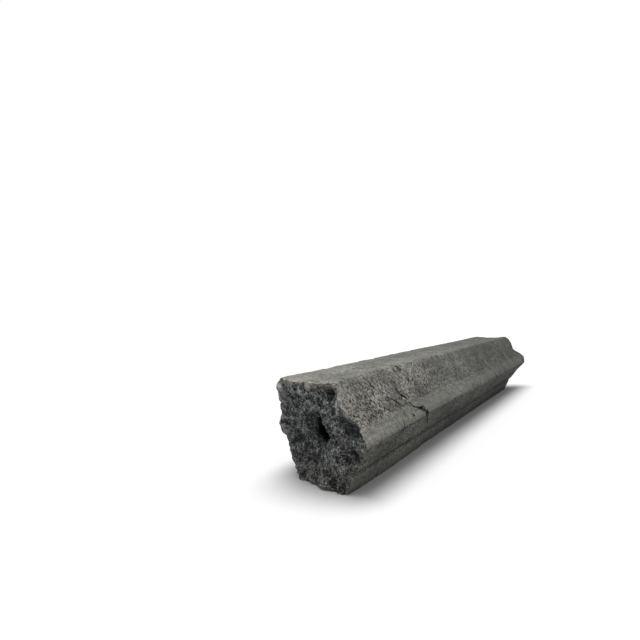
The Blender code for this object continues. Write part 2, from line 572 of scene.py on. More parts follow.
GROOVES = tuple(
    Groove(side, *(size * MM for size in sizes))
    for side, *sizes in (
        (0, -6.4, 0.15),
        (0, 6.4, 0.12),
        (1, -6.4, 0.2),
        (1, 6.4, 0.2),
        (2, -6.4, 0.2),
        (2, 6.4, 0.2),
        (3, -6.4, 0.3),
        (3, 6.4, 0.3),
        (4, -6.4, 0.35),
        (4, 6.4, 0.3),
        (5, -4.0, 0.85, 1.3),
        (5, 5.6, 0.15),
    )
)


def swells(*rows: tuple[float, ...]) -> tuple[Swell, ...]:
    """Several swells.

    Args:
        rows: For each, its place across and up, its spread and its depth in millimetres, and how tall it is.

    Returns:
        The swells.
    """
    return tuple(Swell(*(size * MM for size in row[:4]), *row[4:]) for row in rows)


FRONT = BrokenEnd(
    rim=(-5.5 * MM, -5.6 * MM, -5.4 * MM, 7.8 * MM, 4.2 * MM, -1.6 * MM),
    mouth=3.6 * MM,
    tilt=(-0.36, -0.12),
    lump=2.2 * MM,
    seed=3.7,
    swells=swells(
        (16.2, 4.2, 3.6, 3.2),
        (16.8, 12.0, 3.2, -3.2),
        (16.4, -4.8, 2.6, 2.0),
        (18.0, -9.2, 3.4, 4.5),
        (9.8, 17.4, 1.8, 2.2),
        (-6.0, 11.3, 2.0, 1.4),
        (-2.6, 8.8, 2.0, 1.8),
        (-15.0, -5.8, 2.6, 2.6),
        (6.8, 11.0, 2.6, -1.6),
        (9.8, -4.2, 2.2, -1.2),
        (11.4, -12.5, 2.8, -1.0),
        (-10.0, 17.5, 3.4, -1.4),
        (-17.5, -11.0, 2.2, -1.8),
    ),
    smooth_at=(17.2 * MM, 4.6 * MM),
    smooth_spread=2.7 * MM,
    band=Swell(13.4 * MM, 0.0, 3.4 * MM, 1.0, 0.55),
    pits=swells(
        (9.4, 16.4, 1.1, 2.0),
        (16.4, 5.0, 1.7, 1.8),
        (19.8, 4.0, 1.3, 1.4),
        (14.6, 8.0, 1.2, 1.0),
        (16.6, -4.6, 1.7, 1.5),
        (-6.4, 1.2, 2.2, 2.0),
        (-1.0, 5.4, 1.6, 1.4),
        (6.9, -18.6, 1.1, 1.2),
    ),
    chips=swells(
        (12.9, -10.6, 0.5, -0.7, 1.9),
        (-13.1, -15.5, 0.8, -0.7),
        (-11.9, -2.5, 0.8, -0.6),
        (-12.0, 17.4, 0.9, -0.7),
        (-3.4, 15.6, 1.0, -0.8),
        (0.3, 18.2, 0.8, -0.7),
        (-2.0, 11.8, 1.0, -0.7),
        (4.4, 9.0, 0.9, -0.7),
    ),
)
BACK = BrokenEnd(
    rim=(-1.0 * MM, 0.0, 1.2 * MM, 0.8 * MM, 2.4 * MM, 13.8 * MM),
    mouth=2.2 * MM,
    tilt=(-0.07, -0.06),
    lump=1.3 * MM,
    seed=21.3,
    swells=swells(
        (18.8, 10.8, 2.0, 3.4),
        (21.3, 5.6, 3.0, -9.0),
        (22.9, 1.2, 3.2, -5.0),
        (12.3, 21.3, 1.8, 2.2),
    ),
    smooth_at=(-8.0 * MM, 8.0 * MM),
    smooth_spread=8.0 * MM,
)


@dataclass
class Spot:
    """One place of the surface, with the marks that its finish reads."""

    place: Vector
    marks: dict[Mark, float]


@dataclass
class Briquette:
    """The whole stick: its form, its fine relief and its mesh."""

    section: Section = field(default_factory=Section)
    front: BrokenEnd = FRONT
    back: BrokenEnd = BACK
    strays: tuple[Stray, ...] = (
        Stray(0.0, math.radians(24.0), -132.0 * MM, 26.0 * MM, turn=math.radians(-3.0)),
        Stray(math.radians(300.0), math.radians(24.0), -105.0 * MM, 24.0 * MM, math.radians(3.5), 0.4 * MM),
        Stray(math.radians(13.0), math.radians(11.0), 141.0 * MM, 14.0 * MM, rise=1.0 * MM),
    )
    cracks: CrackField = field(default_factory=CrackField)
    length: float = 272.0 * MM
    bore_diameter: float = 9.4 * MM
    skin_wave_size: float = 28.0 * MM
    skin_wave: float = 0.45 * MM
    skin_seed: float = 40.9
    bore_wave_size: float = 13.0 * MM
    bore_wave: float = 0.6 * MM
    mouth_flare: float = 0.2 * MM
    mouth_slant: float = 1.0 * MM
    mouth_slant_angle: float = math.radians(140.0)
    mouth_shift: float = 0.8 * MM
    mouth_depth: float = 5.0 * MM
    rim_round: float = 0.6 * MM
    rim_depth: float = 2.2 * MM
    grooves: tuple[Groove, ...] = GROOVES
    stains: tuple[tuple[float, float, float], ...] = (
        (-128.0 * MM, math.radians(29.0), 2.6 * MM),
        (-108.5 * MM, math.radians(23.0), 3.2 * MM),
        (-104.0 * MM, math.radians(26.0), 2.6 * MM),
        (-73.0 * MM, math.radians(21.0), 4.2 * MM),
        (-56.5 * MM, math.radians(50.0), 3.4 * MM),
    )
    fringe: float = 1.6 * MM
    # How far the skin's rim mark reaches from each end: painted highlight at the front rim, painted shade at
    # the back rim.
    rim_highlight_and_shade_reach: float = 5.0 * MM
    rim_band: float = 0.9 * MM
    # The length over which painted shade darkens the bore from its mouth inwards.
    channel_shade_fade: float = 1.3 * MM
    fray_depth: float = 1.6 * MM
    fine_fading: float = 6.0 * MM
    around: int = 216
    rows: tuple[tuple[Part, int], ...] = (
        (Part.SKIN, 332),
        (Part.BACK, 28),
        (Part.CHANNEL, 30),
        (Part.FRONT, 66),
    )
    crowding: float = 0.55
    merge: float = 0.1e-6

    def path_place(self, row: int) -> tuple[Part, float, float]:
        """Where a row of the closed path lies.

        Args:
            row: The row, counted from the front rim along the skin, over the back end, through the channel
                and over the front end.

        Returns:
            The stretch, the share of the way from front to back, and the share from bore to skin.
        """
        for part, count in self.rows:
            if row <= count:
                break
            row -= count
        share = row / count
        crowded = share - self.crowding * math.sin(math.tau * share) / math.tau
        places = {
            Part.SKIN: (crowded, 1.0),
            Part.BACK: (1.0, 1.0 - share),
            Part.CHANNEL: (1.0 - crowded, 0.0),
            Part.FRONT: (0.0, share),
        }
        return part, *places[part]

    def groove(self, angle: float, x: float) -> float:
        """How deep the shallow grooves are that run along the joints of panels and lips.

        Args:
            angle: The polar angle.
            x: How far along the stick from its middle.

        Returns:
            The depth.
        """
        side, along = divmod(angle / SIDE_ANGLE, 1.0)
        lateral = self.section.lateral(along)
        here = int(side) % SIDES
        return sum(groove.depth_at(lateral, x) for groove in self.grooves if groove.side == here)

    def skin_relief(self, x: float, angle: float, round_place: Vector) -> float:
        """The fine relief of the skin, without its cracks.

        Args:
            x: How far along the stick from its middle.
            angle: The polar angle.
            round_place: The same place on the cylinder through the ridges.

        Returns:
            How far the skin is raised.
        """
        raised = 0.09 * MM * noise.fractal(round_place / (3.0 * MM), 0.8, 2.1, 3)
        along, across, up = round_place
        raised += 0.06 * MM * noise.noise(Vector((along / (1.9 * MM), across / (9.0 * MM), up / (9.0 * MM))))
        ridge = self.section.ridge_share(angle)
        worn = noise.noise(Vector((x / (5.5 * MM), round(angle / SIDE_ANGLE) * 7.3, 0.0)))
        nicks = noise.noise(Vector((x / (1.7 * MM), round(angle / SIDE_ANGLE) * 3.1, 4.0)))
        raised -= ridge * (0.45 * MM * max(worn, 0.0) + 0.16 * MM * nicks)
        pit = noise.voronoi(round_place / (8.5 * MM))[0][0]
        raised -= 0.55 * MM * (1.0 - ease(pit, 0.05, 0.15))
        return raised - self.groove(angle, x)

    def stain(self, x: float, angle: float) -> float:
        """How much a place of the skin is darkened by one of the stains that the photograph shows.

        Args:
            x: How far along the stick from its middle.
            angle: The polar angle.

        Returns:
            The share.
        """
        shares = []
        for stain_x, stain_angle, size in self.stains:
            away = math.hypot(x - stain_x, (angle - stain_angle) * self.section.ridge_radius)
            shares.append(math.exp(-((away / size) ** 2)))
        return max(shares)

    def crack_marks(self, x: float, angle: float, radius: float, close: list[Crack]) -> Triple:
        """What the cracks do at a place of the skin.

        Args:
            x: How far along the stick from its middle.
            angle: The polar angle.
            radius: The distance from the axis.
            close: The cracks that pass near.

        Returns:
            The distance from the nearest one's line and its half width, both in millimetres, and how deep the
            skin is parted.
        """
        best_off, best_open, deepest = 2.0 * MM, 0.0, 0.0
        for crack in close:
            off, half_width = crack.gap(x, angle, radius)
            if half_width <= 0.0 or abs(off) > 1.6 * MM or abs(off) > abs(best_off):
                continue
            best_off, best_open = off, half_width
            lips = max(0.55 * MM, half_width)
            deepest = crack.depth * half_width / crack.half_width * math.exp(-((off / lips) ** 2))
        return best_off / MM, best_open / MM, deepest

    def smooth_skin(self, angle: float, x: float, from_end: float, round_place: Vector) -> float:
        """The skin without its fine relief and its cracks.

        Args:
            angle: The polar angle.
            x: How far along the stick from its middle.
            from_end: How far from the nearer end.
            round_place: The same place on the cylinder through the ridges.

        Returns:
            Its distance from the axis.
        """
        wave = noise.noise(round_place / self.skin_wave_size + Vector((self.skin_seed, 0.0, 0.0)))
        skin = self.section.radius(angle) + self.skin_wave * wave
        skin += sum(stray.rise * stray.share(angle, x) for stray in self.strays)
        return skin - self.rim_round * math.exp(-from_end / self.rim_depth)

    def bore_wall(self, angle: float, in_front: bool, from_end: float, round_place: Vector) -> float:
        """The wall of the bore, which opens aslant at the front.

        Args:
            angle: The polar angle.
            in_front: Whether the place is in the front half.
            from_end: How far from the nearer end.
            round_place: The same place on the cylinder through the ridges.

        Returns:
            Its distance from the axis.
        """
        bore = self.bore_diameter / 2 + self.bore_wave * noise.noise(round_place / self.bore_wave_size)
        slant = 0.0
        if in_front:
            slant = self.mouth_slant * math.cos(2.0 * (angle - self.mouth_slant_angle))
            slant -= self.mouth_shift * math.cos(angle)
        bore += (self.mouth_flare + slant) * math.exp(-from_end / self.mouth_depth)
        return bore + 0.25 * MM * noise.fractal(round_place / (4.0 * MM), 0.8, 2.1, 2)

    def spot(self, part: Part, angle: float, along: float, wall: float, close: list[Crack]) -> Spot:
        """One place of the surface.

        Args:
            part: The stretch that it belongs to.
            angle: The polar angle.
            along: The share of the way from front to back.
            wall: The share of the way from bore to skin.
            close: The cracks that pass near.

        Returns:
            The place and its marks.
        """
        x = (along - 0.5) * self.length
        in_front = along < 0.5
        ridge_radius = self.section.ridge_radius
        from_end = min(along, 1.0 - along) * self.length
        around, above = math.cos(angle) * ridge_radius, math.sin(angle) * ridge_radius
        round_place = Vector((along * self.length, around, above))
        placed = angle + sum(stray.turn * stray.share(angle, x) for stray in self.strays)
        skin = self.smooth_skin(angle, x, from_end, round_place)
        raised = self.skin_relief(x, angle, round_place)
        crack_off, crack_open, parted = 2.0, 0.0, 0.0
        if part is Part.SKIN:
            crack_off, crack_open, parted = self.crack_marks(x, angle, skin, close)
        skin += raised - parted
        radius = blend(self.bore_wall(angle, in_front, from_end, round_place), skin, wall)
        across = radius * math.cos(angle)
        up = radius * math.sin(angle)
        end = self.front if in_front else self.back
        fine = end.fine_depth(across, up)
        faded = fine * math.exp(-from_end / self.fine_fading)
        front_depth = self.front.coarse_depth(angle, radius, wall) + (faded if in_front else 0.0)
        back_depth = self.back.coarse_depth(angle, radius, wall) + (0.0 if in_front else faded)
        push_across, push_up = end.frayed(across, up)
        fray = math.exp(-from_end / self.fray_depth)
        place = Vector(
            (
                blend(front_depth - self.length / 2, self.length / 2 - back_depth, along),
                -(radius * math.cos(placed) + push_across * fray),
                max(self.section.axis_height + radius * math.sin(placed) + push_up * fray, 0.0),
            )
        )
        marks = dict.fromkeys(Mark, 0.0)
        marks |= {Mark.BROKEN: 1.0, Mark.SIDE_SHADE: 1.0, Mark.ROUGH: self.section.rough(angle)}
        marks |= {Mark.CRACK_OFF: crack_off, Mark.CRACK_OPEN: crack_open, Mark.RELIEF_SHADE: (raised - parted) / MM}
        if part is Part.SKIN:
            marks |= self.skin_marks(x, angle, from_end)
        else:
            # The break's rim band widens towards the top, where its pale flecks carry painted highlight.
            inside_rim = (skin - radius) / (self.rim_band * (1.0 + 1.2 * ease(up, 8 * MM, 16 * MM)))
            marks[Mark.RIM] = math.exp(-(inside_rim**2))
        if part in (Part.FRONT, Part.BACK):
            marks |= {
                # Depth of the break's fine relief, for painted shade in its low places.
                Mark.RELIEF_SHADE: -fine / MM,
                Mark.SMOOTH: end.smooth_share(across, up),
                Mark.CHIP: end.chip_share(across, up),
                Mark.BAND: end.band.depth_at(across, up),
            }
        if part is Part.CHANNEL:
            # Painted shade inside the bore, growing from the mouth inwards.
            marks[Mark.CHANNEL] = 1.0 - math.exp(-from_end / self.channel_shade_fade)
        return Spot(place, marks)

    def skin_marks(self, x: float, angle: float, from_end: float) -> dict[Mark, float]:
        """What the finish reads on the skin alone.

        Args:
            x: How far along the stick from its middle.
            angle: The polar angle.
            from_end: How far from the nearer end.

        Returns:
            The marks.
        """
        return {
            Mark.BROKEN: max(0.0, 1.0 - from_end / self.fringe),
            # Painted highlight on the lips.
            Mark.LIP_HIGHLIGHT: self.section.lip_highlight_share(angle),
            # Nearness to an end, for painted highlight at the front rim and painted shade at the back rim.
            Mark.RIM: math.exp(-from_end / self.rim_highlight_and_shade_reach),
            # Groove depth, for painted shade in the grooves.
            Mark.GROOVE_SHADE: self.groove(angle, x) / MM,
            # Painted shade of the downward-facing side.
            Mark.SIDE_SHADE: self.section.tone(angle),
            Mark.STAIN: self.stain(x, angle),
        }

    def make(self) -> bpy.types.Object:
        """Rolls a flat grid round the section and along the closed path.

        Returns:
            The finished piece, centred on the solid's box.
        """
        row_count = sum(count for _, count in self.rows)
        self.cracks.strew(self.length)
        grid = bmesh.new()
        bmesh.ops.create_grid(grid, x_segments=self.around, y_segments=row_count, size=0.5)
        layers = {mark: grid.verts.layers.float.new(mark.value) for mark in Mark}
        angles = [self.section.angle(step / self.around) for step in range(self.around + 1)]
        row_places = [self.path_place(row) for row in range(row_count + 1)]
        row_cracks = [self.cracks.close_to((along - 0.5) * self.length) for _, along, _ in row_places]
        for vert in grid.verts:
            row = round((vert.co.y + 0.5) * row_count)
            step = round((vert.co.x + 0.5) * self.around) % self.around
            part, along, wall = row_places[row]
            made = self.spot(part, angles[step], along, wall, row_cracks[row])
            vert.co = made.place
            for mark, value in made.marks.items():
                vert[layers[mark]] = value
        bmesh.ops.remove_doubles(grid, verts=grid.verts, dist=self.merge)
        bmesh.ops.recalc_face_normals(grid, faces=grid.faces)
        self.centre(grid)
        mesh = bpy.data.meshes.new("briquette_skin")
        grid.to_mesh(mesh)
        grid.free()
        mesh.shade_smooth()
        piece = bpy.data.objects.new("briquette_skin", mesh)
        bpy.context.scene.collection.objects.link(piece)
        return piece

    @staticmethod
    def centre(grid: bmesh.types.BMesh) -> None:
        """Moves the mesh along X and Y until its box is centred on the solid's box.

        Args:
            grid: The mesh.
        """
        low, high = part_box(NODE)
        for axis in (0, 1):
            places = [vert.co[axis] for vert in grid.verts]
            move = (low[axis] + high[axis] - min(places) - max(places)) / 2
            for vert in grid.verts:
                vert.co[axis] += move


class Nodes:
    """Short calls that add and join the nodes of one material."""

    def __init__(self, material: bpy.types.Material) -> None:
        """Takes the material's node tree."""
        self.tree = material.node_tree
        self.place = self.add("TexCoord", {}, "Object")

    def join(self, socket: Socket, value: object) -> None:
        """Feeds a socket.

        Args:
            socket: The socket.
            value: Another socket to link to it, a plain value, or None to leave it as it is.
        """
        if isinstance(value, Socket):
            self.tree.links.new(value, socket)
        elif value is not None:
            socket.default_value = value

    def add(
        self, kind: str, inputs: dict[str | int, object], output: str | int, **settings: object
    ) -> Socket:
        """Adds one node.

        Args:
            kind: The node's type, without ShaderNode before it.
            inputs: What feeds its sockets, by their names or numbers.
            output: The name or number of the socket that is asked for.
            settings: The node's own settings, which are made first.

        Returns:
            The socket that is asked for.
        """
        node = self.tree.nodes.new("ShaderNode" + kind)
        for name, setting in settings.items():
            setattr(node, name, setting)
        for name, value in inputs.items():
            self.join(node.inputs[name], value)
        return node.outputs[output]

    def math(self, operation: str, *values: object, clamp: bool = False) -> Socket:
        """One math operation on sockets or numbers."""
        return self.add("Math", dict(enumerate(values)), 0, operation=operation, use_clamp=clamp)

    def times(self, *values: object) -> Socket:
        """The product of values."""
        return reduce(lambda made, value: self.math("MULTIPLY", made, value), values)

    def plus(self, *values: object) -> Socket:
        """The sum of values."""
        return reduce(lambda made, value: self.math("ADD", made, value), values)

    def minus(self, first: object, second: object) -> Socket:
        """The first value less the second."""
        return self.math("SUBTRACT", first, second)

    def step(
        self, value: Socket, low: float, high: float, to_low: object = 0.0, to_high: object = 1.0
    ) -> Socket:
        """A smooth step of a value, from to_low at low to to_high at high."""
        inputs = {"Value": value, "From Min": low, "From Max": high, "To Min": to_low, "To Max": to_high}
        return self.add("MapRange", inputs, "Result", interpolation_type="SMOOTHSTEP")

    def mark(self, mark: Mark) -> Socket:
        """One of the values that the mesh carries."""
        return self.add("Attribute", {}, "Fac", attribute_name=mark.value)

    def axis(self, name: str) -> Socket:
        """One coordinate of the place: X along the stick, Y across it and Z up."""
        return self.add("SeparateXYZ", {0: self.place}, name)

    def warped(self, place: Socket, size: float, reach: float) -> Socket:
        """A place pushed about by soft noise, by up to about half the reach."""
        push = self.add("TexNoise", {"Vector": place, "Scale": 1.0 / size}, "Color")
        inputs = {0: push, 1: (reach,) * 3, 2: place}
        return self.add("VectorMath", inputs, "Vector", operation="MULTIPLY_ADD")

    def stretched(self, size: Triple, turn: Triple = (0.0, 0.0, 0.0), place: Socket | None = None) -> Socket:
        """A place, the object's own unless another is given, turned and measured in the given sizes."""
        inputs = {"Vector": place or self.place, "Rotation": turn, "Scale": size}
        return self.add("Mapping", inputs, "Vector", vector_type="TEXTURE")

    def noise(
        self, place: Socket, size: float = 1.0, detail: float = 2.0, rough: float = 0.5, twist: float = 0.0
    ) -> Socket:
        """Soft noise, from 0 to 1, about as coarse as the given size."""
        grade = {"Scale": 1.0 / size, "Detail": detail, "Roughness": rough, "Distortion": twist}
        return self.add("TexNoise", {"Vector": place} | grade, "Fac")

    def cells(self, place: Socket, size: float = 1.0, feature: str = "F1") -> Socket:
        """The distance from the middle or the edge of the cell that a place is in."""
        return self.add("TexVoronoi", {"Vector": place, "Scale": 1.0 / size}, "Distance", feature=feature)

    def cell_value(self, place: Socket) -> Socket:
        """A chance value for the cell that a place is in."""
        colour = self.add("TexVoronoi", {"Vector": place, "Scale": 1.0}, "Color")
        return self.add("SeparateColor", {"Color": colour}, "Red")

    def mix(self, share: object, first: object, second: object) -> Socket:
        """A mix of two colours."""
        return self.add("Mix", {"Factor": share, "A": first, "B": second}, "Result", data_type="RGBA")

    def mix_value(self, share: object, first: object, second: object) -> Socket:
        """A mix of two values."""
        return self.add("Mix", {"Factor": share, "A": first, "B": second}, "Result")

    def tint(self, colour: Socket, by: Colour) -> Socket:
        """A colour with each of its channels scaled."""
        return self.add("VectorMath", {0: colour, 1: by[:3]}, "Vector", operation="MULTIPLY")

    def scale(self, colour: Socket, by: object) -> Socket:
        """A colour made lighter or darker."""
        return self.add("VectorMath", {0: colour, "Scale": by}, "Vector", operation="SCALE")

    def bump(self, height: Socket, distance: float, strength: float) -> Socket:
        """A bumped normal from a height."""
        return self.add("Bump", {"Distance": distance, "Strength": strength, "Height": height}, "Normal")


def leaning(x: float, across: float, up: float) -> Triple:
    """The turn that lays a pattern's long side, its Z, along a direction of the stick."""
    return tuple(Vector((x, -across, up)).to_track_quat("Z", "Y").to_euler())


@dataclass(frozen=True)
class CharcoalFinish:
    """Charred skin, brownish grey and faintly shiny, and a rough dark break whose grains glint by painted
    highlights; painted shade and highlights also stand in the colour of lips, rims, grooves, cracks, hollows,
    the bore, the underside and the back end.
    """

    skin: Colour = (0.034, 0.0335, 0.029, 1.0)
    skin_pale: Colour = (0.066, 0.065, 0.058, 1.0)
    # Painted highlight on the rounded front rims and on the far lips of cracks.
    skin_rim_highlight: Colour = (0.145, 0.140, 0.120, 1.0)
    # Painted highlight on the lips.
    skin_lip_highlight: Colour = (0.084, 0.083, 0.074, 1.0)
    skin_dark: Colour = (0.014, 0.013, 0.011, 1.0)
    skin_stain: Colour = (0.030, 0.025, 0.022, 1.0)
    skin_flake: Colour = (0.150, 0.150, 0.138, 1.0)
    # Painted shade inside the cracks.
    crack: Colour = (0.003, 0.003, 0.003, 1.0)
    break_dark: Colour = (0.006, 0.007, 0.007, 1.0)
    break_mid: Colour = (0.027, 0.031, 0.030, 1.0)
    break_light: Colour = (0.110, 0.122, 0.119, 1.0)
    break_warm: Colour = (0.74, 0.67, 0.66, 1.0)
    break_fibre: Colour = (0.200, 0.214, 0.208, 1.0)
    # Painted shade of the smooth dish, a hollow in the break.
    break_dish_shade: Colour = (0.020, 0.022, 0.026, 1.0)
    # Pale flecks on the break's rim, partly painted highlight along the top edge.
    break_rim_fleck_highlight: Colour = (0.215, 0.195, 0.170, 1.0)
    break_chip: Colour = (0.240, 0.250, 0.246, 1.0)
    # Painted glint highlights in the break's colour.
    break_painted_glint: Colour = (0.36, 0.38, 0.37, 1.0)
    band_dark: Colour = (0.018, 0.016, 0.017, 1.0)
    band_light: Colour = (0.108, 0.098, 0.101, 1.0)
    # Painted shade inside the bore.
    channel: Colour = (0.006, 0.006, 0.006, 1.0)
    stroke_lean: Triple = leaning(0.70, 0.35, -0.62)
    filament_lean: Triple = leaning(0.0, -0.30, 0.95)
    band_lean: Triple = leaning(0.1, 0.85, -0.50)
    bore_height: float = 20.85 * MM
    fan_radius: float = 11.0 * MM
    hair_length: float = 6.5
    specular: float = 0.14
    bump_height: float = 0.55 * MM
    bump_strength: float = 0.85

    def strokes(self, nodes: Nodes) -> Socket:
        """Short worm-like strokes that lean over, mixed with fine speckle, from 0 to 1.

        Args:
            nodes: The material's nodes.

        Returns:
            The strokes.
        """
        leant = nodes.stretched((0.8 * MM, 0.8 * MM, 1.9 * MM), self.stroke_lean)
        worms = nodes.noise(leant, 1.0, 2.0, 0.6, 0.8)
        dots = nodes.noise(nodes.place, 1.0 * MM, 3.0, 0.7, 0.5)
        return nodes.plus(nodes.times(worms, 0.45), nodes.times(dots, 0.55))

    def roughened(self, nodes: Nodes) -> Socket:
        """How rough the skin is, from 0 to 1.

        Args:
            nodes: The material's nodes.

        Returns:
            The roughness: most near the front, least on the lips, and in patches.
        """
        front = nodes.step(nodes.axis("X"), -70 * MM, 40 * MM, 0.85, 0.35)
        patchy = nodes.step(nodes.noise(nodes.place, 16 * MM, 2.0), 0.3, 0.7, -0.25, 0.35)
        lips = nodes.times(nodes.mark(Mark.LIP_HIGHLIGHT), -0.25)
        rough = nodes.math("ADD", nodes.plus(front, patchy), lips, clamp=True)
        return nodes.times(rough, nodes.mark(Mark.ROUGH))

    def skin_ground(self, nodes: Nodes, strokes: Socket) -> Socket:
        """The skin's own colour.

        Args:
            nodes: The material's nodes.
            strokes: The skin's strokes.

        Returns:
            The colour: patches, leaning strokes, dark pores and pale flakes.
        """
        patches = nodes.noise(nodes.place, 20 * MM, 3.0, 0.55, 0.4)
        colour = nodes.mix(nodes.step(patches, 0.35, 0.70), self.skin, self.skin_pale)
        rough = self.roughened(nodes)
        dark = nodes.minus(0.80, nodes.times(rough, 0.72))
        pale = nodes.plus(1.20, nodes.times(rough, 2.00))
        colour = nodes.scale(colour, nodes.step(strokes, 0.44, 0.56, dark, pale))
        pores = nodes.cells(nodes.stretched((1.6 * MM, 1.6 * MM, 2.6 * MM), self.stroke_lean))
        colour = nodes.scale(colour, nodes.step(pores, 0.10, 0.32, 0.15, 1.0))
        flakes = nodes.step(nodes.noise(nodes.place, 1.1 * MM, 2.0, 0.6, 0.8), 0.58, 0.66, 0.0, 0.9)
        return nodes.mix(nodes.times(flakes, rough), colour, self.skin_flake)

    def skin_colour(self, nodes: Nodes) -> Socket:
        """The skin's whole colour.

        Args:
            nodes: The material's nodes.

        Returns:
            The colour: its ground, with smudges and stains, painted highlight on the lips and the front rims,
                streaks, and painted shade in the grooves, on the downward-facing side and towards the back
                end.
        """
        strokes = self.strokes(nodes)
        colour = self.skin_ground(nodes, strokes)
        smudges = nodes.noise(nodes.stretched((5 * MM, 9 * MM, 9 * MM)), 1.0, 4.0, 0.65, 0.6)
        colour = nodes.mix(nodes.step(smudges, 0.56, 0.72, 0.0, 0.45), colour, self.skin_dark)
        stained = nodes.times(nodes.mark(Mark.STAIN), nodes.step(strokes, 0.42, 0.56, 0.85, 0.45))
        colour = nodes.mix(stained, colour, self.skin_stain)
        # Painted highlight on the lips, stronger towards the front end.
        lips = nodes.times(nodes.mark(Mark.LIP_HIGHLIGHT), nodes.step(strokes, 0.40, 0.58, 0.40, 0.90))
        lips = nodes.times(lips, nodes.step(nodes.axis("X"), -120 * MM, 0.0, 1.0, 0.55))
        colour = nodes.mix(lips, colour, self.skin_lip_highlight)
        # Painted highlight on the rounded skin rim near the front end, fading out towards the back.
        rims = nodes.times(nodes.mark(Mark.RIM), nodes.step(strokes, 0.38, 0.56, 0.10, 1.0))
        patchy = nodes.step(nodes.noise(nodes.place, 6 * MM, 3.0, 0.6), 0.36, 0.60, 0.25, 1.0)
        rims = nodes.times(rims, patchy, nodes.step(nodes.axis("X"), -110 * MM, 90 * MM, 1.0, 0.0))
        colour = nodes.mix(rims, colour, self.skin_rim_highlight)
        streaks = nodes.noise(nodes.stretched((70 * MM, 1.8 * MM, 1.8 * MM)), 1.0, 3.0, 0.6)
        # Painted shade by the back end's rim.
        far_rim_shade = nodes.times(nodes.mark(Mark.RIM), nodes.step(nodes.axis("X"), 90 * MM, 130 * MM, 0.0, 0.6))
        for shade in (
            nodes.step(streaks, 0.35, 0.65, 0.86, 1.12),
            nodes.minus(1.0, far_rim_shade),
            # Painted shade in the grooves, darker where they are deeper.
            nodes.step(nodes.mark(Mark.GROOVE_SHADE), 0.10, 0.85, 1.0, 0.42),
            # Painted shade on the downward-facing side.
            nodes.mark(Mark.SIDE_SHADE),
            # Painted shade: the whole skin darker towards the back end.
            nodes.step(nodes.axis("X"), -120 * MM, 90 * MM, 1.0, 0.58),
        ):
            colour = nodes.scale(colour, shade)
        return colour

    def network(self, nodes: Nodes) -> Socket:
        """Torn filaments round small pits: 1 on a filament, falling to 0 in the pits.

        Args:
            nodes: The material's nodes.

        Returns:
            The filaments.
        """
        place = nodes.warped(nodes.place, 1.6 * MM, 1.1 * MM)
        long = nodes.stretched((1.15 * MM, 1.15 * MM, 1.7 * MM), self.filament_lean, place)
        thick = nodes.step(nodes.noise(nodes.place, 2.2 * MM, 2.0), 0.35, 0.65, 0.10, 0.34)
        return nodes.step(nodes.cells(long, 1.0, "DISTANCE_TO_EDGE"), 0.0, thick, 1.0, 0.0)

    def fan(self, nodes: Nodes) -> Socket:
        """A place measured round the bore, along the stick, and outwards from the bore.

        Args:
            nodes: The material's nodes.

        Returns:
            The place.
        """
        up = nodes.minus(nodes.axis("Z"), self.bore_height)
        across = nodes.times(nodes.axis("Y"), -1.0)
        turned = nodes.times(nodes.math("ARCTAN2", up, across), self.fan_radius)
        outwards = nodes.math("SQRT", nodes.plus(nodes.times(up, up), nodes.times(across, across)))
        return nodes.add("CombineXYZ", {"X": turned, "Y": nodes.axis("X"), "Z": outwards}, "Vector")

    def hairs(self, nodes: Nodes, place: Socket, width: float) -> Socket:
        """Thin curved fibres that lie about along the Z of the given place, from 0 between them to 1.

        Args:
            nodes: The material's nodes.
            place: The place.
            width: How wide a fibre is.

        Returns:
            The fibres.
        """
        long = nodes.stretched((width, width, self.hair_length * width), place=place)
        flow = nodes.noise(long, 1.0, 1.0, 0.5, 1.0)
        return nodes.step(nodes.math("ABSOLUTE", nodes.minus(flow, 0.5)), 0.0, 0.09, 1.0, 0.0)

    def break_ground(self, nodes: Nodes, height: Socket, grains: Socket) -> Socket:
        """The break's ground colour, partly painted shade.

        Args:
            nodes: The material's nodes.
            height: How high a place of the break stands, from 0 to 1, mixed from its relief and its colour
                noise; its low places get painted shade.
            grains: Its fine grain.

        Returns:
            The colour: dark gaps, partly painted shade in the low places, grey clumps, thin pale fibres, the
                smooth dish in painted shade and the streaked band.
        """
        # Dark in the low places, partly painted shade, and dark or light by the break's own grains.
        colour = nodes.mix(nodes.step(height, 0.38, 0.53), self.break_dark, self.break_mid)
        colour = nodes.mix(nodes.step(height, 0.52, 0.68), colour, self.break_light)
        fan = self.fan(nodes)
        fibres = nodes.math("MAXIMUM", self.hairs(nodes, fan, 1.0 * MM), self.hairs(nodes, fan, 0.6 * MM))
        fibres = nodes.times(fibres, nodes.step(height, 0.40, 0.58, 0.06, 0.85))
        colour = nodes.mix(fibres, colour, self.break_fibre)
        # Painted shade: the smooth dish, a hollow, is darkened.
        smooth = nodes.times(nodes.mark(Mark.SMOOTH), nodes.step(grains, 0.38, 0.62, 0.85, 0.25))
        colour = nodes.mix(smooth, colour, self.break_dish_shade)
        long = nodes.stretched((0.5 * MM, 0.5 * MM, 4.5 * MM), self.band_lean)
        streaks = nodes.noise(long, 1.0, 2.0, 0.6, 0.3)
        streaked = nodes.mix(nodes.step(streaks, 0.38, 0.60), self.band_dark, self.band_light)
        return nodes.mix(nodes.step(nodes.mark(Mark.BAND), 0.35, 0.75, 0.0, 0.85), colour, streaked)

    def break_colour(self, nodes: Nodes) -> Socket:
        """The break's whole colour.

        Args:
            nodes: The material's nodes.

        Returns:
            The colour: its ground, with painted glint highlights, rim flecks that are partly painted
                highlight and chips over it, and warmer low down.
        """
